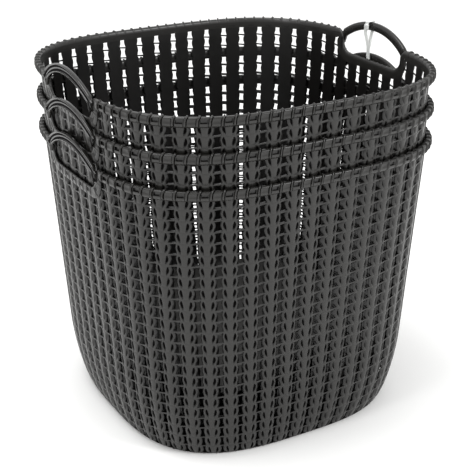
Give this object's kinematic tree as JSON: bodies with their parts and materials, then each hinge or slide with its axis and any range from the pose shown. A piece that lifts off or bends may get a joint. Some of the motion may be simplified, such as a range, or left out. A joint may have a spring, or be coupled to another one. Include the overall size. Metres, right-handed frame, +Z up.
{
  "type": "laundry basket",
  "caption": "Nesting laundry baskets in dark moulded plastic with a knitted look, rounded square plan, stitched rim, arched side handles; a clear tie hangs on one handle.",
  "frame": {"origin": "centre of the lowest basket's underside, on the floor", "axes": "+Z up out of the baskets' mouths, X from handle to handle, Y from front to back"},
  "size_m": [0.3881, 0.382, 0.407],
  "materials": {
    "basket_plastic": "satin moulded polypropylene",
    "handle_plastic": "smooth satin moulded polypropylene",
    "clear_tie": "clear moulded nylon"
  },
  "bodies": {
    "basket_bottom": {"bottom_wall": "basket_plastic", "bottom_base": "basket_plastic", "bottom_rim": "basket_plastic", "bottom_handle_left": "handle_plastic", "bottom_handle_right": "handle_plastic"},
    "basket_middle": {"middle_wall": "basket_plastic", "middle_base": "basket_plastic", "middle_rim": "basket_plastic", "middle_handle_left": "handle_plastic", "middle_handle_right": "handle_plastic"},
    "basket_top": {"top_wall": "basket_plastic", "top_base": "basket_plastic", "top_rim": "basket_plastic", "top_handle_left": "handle_plastic", "top_handle_right": "handle_plastic", "tie_strap": "clear_tie", "tie_lock": "clear_tie"}
  },
  "joints": [
    {"name": "middle_lift", "type": "slide", "parent": "basket_bottom", "child": "basket_middle", "axis": [0, 0, 1], "range_m": [0, 0.32]},
    {"name": "top_lift", "type": "slide", "parent": "basket_middle", "child": "basket_top", "axis": [0, 0, 1], "range_m": [0, 0.32]}
  ]
}
